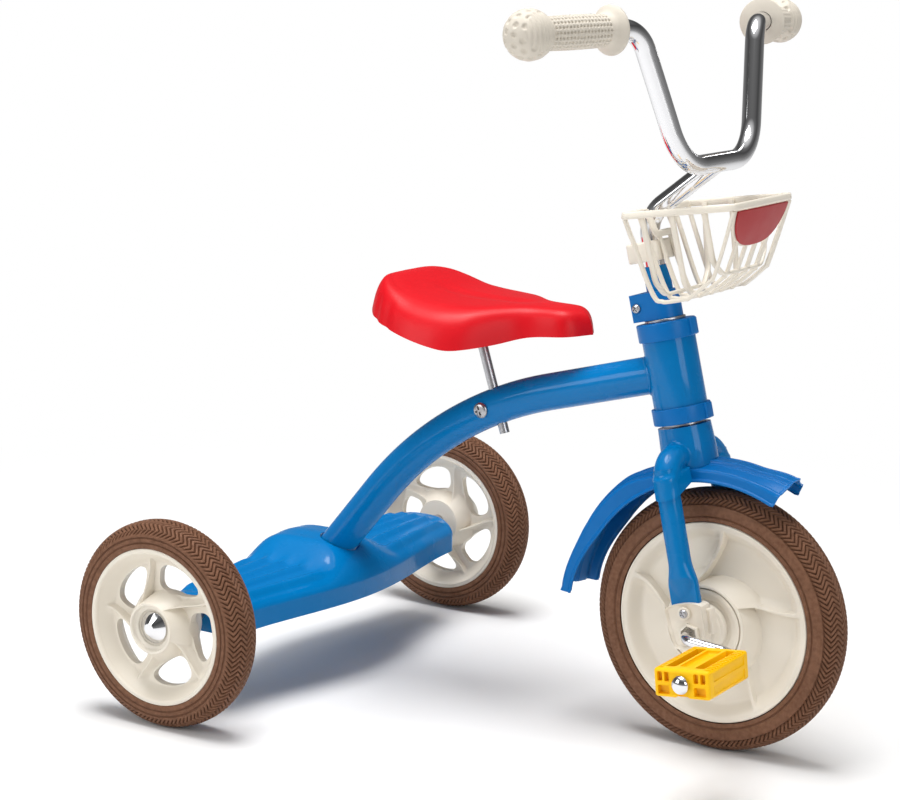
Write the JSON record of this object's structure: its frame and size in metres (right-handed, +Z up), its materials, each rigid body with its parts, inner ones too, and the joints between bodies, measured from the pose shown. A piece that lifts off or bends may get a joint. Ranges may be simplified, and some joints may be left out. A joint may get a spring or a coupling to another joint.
{
  "type": "child's tricycle",
  "caption": "Child's pedal tricycle with a curved tube frame, pressed rear step platform, fender, high-rise handlebar and a small slatted basket.",
  "frame": {"origin": "on the ground under the middle of the tricycle's length and width", "axes": "+X forward, +Y to the rider's left, +Z up"},
  "size_m": [0.6329, 0.5046, 0.6364],
  "materials": {
    "blue_paint": "glossy",
    "blue_plastic": "glossy",
    "cream_plastic": "satin",
    "brown_tyre": "matte",
    "chrome": "polished",
    "plated_steel": "satin",
    "red_plastic": "satin",
    "yellow_plastic": "glossy"
  },
  "bodies": {
    "frame": {"backbone_tube": "blue_paint", "head_tube": "blue_paint", "upper_cup": "blue_plastic", "lower_cup": "blue_plastic", "rear_platform": "blue_paint", "axle_tube": "blue_paint", "rear_axle": "plated_steel", "rear_cap_right": "chrome", "rear_cap_left": "chrome", "rear_spacer_right": "plated_steel", "rear_spacer_left": "plated_steel", "seat_clamp_bolt": "plated_steel", "seat_clamp_nut": "plated_steel"},
    "seat": {"saddle": "red_plastic", "saddle_bracket": "plated_steel", "saddle_screw_front": "plated_steel", "saddle_screw_rear": "plated_steel", "seat_post": "chrome"},
    "steering": {"steerer_tube": "blue_paint", "lower_washer": "plated_steel", "upper_washer": "plated_steel", "stem_collar": "blue_plastic", "collar_screw": "plated_steel", "fork_crown": "blue_paint", "fender": "blue_plastic", "fender_screw": "plated_steel", "fork_leg_right": "blue_paint", "fork_leg_left": "blue_paint", "axle_block_right": "cream_plastic", "axle_block_left": "cream_plastic", "block_screw_right": "plated_steel", "block_screw_left": "plated_steel", "handlebar_stem": "chrome", "handlebar": "chrome", "grip_right": "cream_plastic", "grip_left": "cream_plastic", "basket": "cream_plastic", "basket_clip": "cream_plastic", "basket_panel": "red_plastic"},
    "front_wheel": {"front_tyre": "brown_tyre", "front_rim": "cream_plastic", "hub_cover_right": "cream_plastic", "hub_cover_left": "cream_plastic", "crank": "chrome", "pedal_washer_right": "plated_steel", "pedal_washer_left": "plated_steel", "pedal_cap_right": "chrome", "pedal_cap_left": "chrome"},
    "pedal_right": {"pedal_right": "yellow_plastic"},
    "pedal_left": {"pedal_left": "yellow_plastic"},
    "rear_wheel_right": {"rear_tyre_right": "brown_tyre", "rear_rim_right": "cream_plastic"},
    "rear_wheel_left": {"rear_tyre_left": "brown_tyre", "rear_rim_left": "cream_plastic"}
  },
  "joints": [
    {"name": "steer", "type": "hinge", "parent": "frame", "child": "steering", "pos_m": [0.19983, 0, 0.11476], "axis": [-0.2365, 0, 0.9716], "range_deg": [-45, 45]},
    {"name": "seat_height", "type": "slide", "parent": "frame", "child": "seat", "axis": [-0.309, 0, 0.9511], "range_m": [-0.02, 0.02]},
    {"name": "front_wheel_spin", "type": "hinge", "parent": "steering", "child": "front_wheel", "pos_m": [0.2008, 0, 0.115], "axis": [0, 1, 0], "continuous": true},
    {"name": "rear_right_spin", "type": "hinge", "parent": "frame", "child": "rear_wheel_right", "pos_m": [-0.2234, -0.2288, 0.0924], "axis": [0, 1, 0], "continuous": true},
    {"name": "rear_left_spin", "type": "hinge", "parent": "frame", "child": "rear_wheel_left", "pos_m": [-0.2234, 0.2288, 0.0924], "axis": [0, 1, 0], "continuous": true},
    {"name": "pedal_right_spin", "type": "hinge", "parent": "front_wheel", "child": "pedal_right", "pos_m": [0.24961, -0.1325, 0.11073], "axis": [0, 1, 0], "continuous": true},
    {"name": "pedal_left_spin", "type": "hinge", "parent": "front_wheel", "child": "pedal_left", "pos_m": [0.15199, 0.1325, 0.11927], "axis": [0, 1, 0], "continuous": true}
  ]
}
